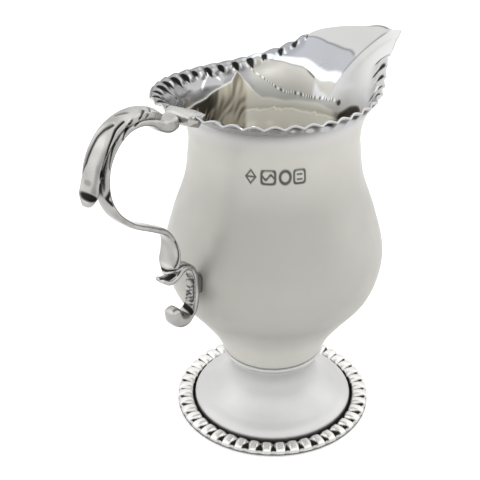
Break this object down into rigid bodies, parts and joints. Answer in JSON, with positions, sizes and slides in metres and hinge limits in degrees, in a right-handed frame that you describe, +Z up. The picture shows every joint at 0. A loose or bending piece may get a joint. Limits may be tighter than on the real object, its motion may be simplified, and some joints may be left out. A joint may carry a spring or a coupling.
{
  "type": "cream jug",
  "caption": "Footed pear-shaped silver cream jug with a beaded flared rim, a folded pouring lip and a leaf-capped double-scroll handle.",
  "frame": {"origin": "middle of the bounding box, on the plane that the foot stands on", "axes": "+Z up along the jug's axis, +X towards the pouring lip, handle towards -X, symmetry plane at y = 0"},
  "size_m": [0.1193, 0.0614, 0.1084],
  "materials": {
    "body_silver": "hand-polished sterling silver, soft hammered sheen",
    "foot_silver": "polished sterling silver",
    "cast_silver": "polished cast silver",
    "oxidised_silver": "cast silver with dark tarnish in its recesses"
  },
  "bodies": {
    "root": {"jug_body": "body_silver", "stem_collar": "foot_silver", "pedestal_foot": "foot_silver", "foot_border": "oxidised_silver", "rim_saddle": "cast_silver", "handle_scroll": "cast_silver", "leaf_cap": "oxidised_silver", "tail_scroll": "oxidised_silver", "bowl_pad": "cast_silver"}
  },
  "joints": []
}
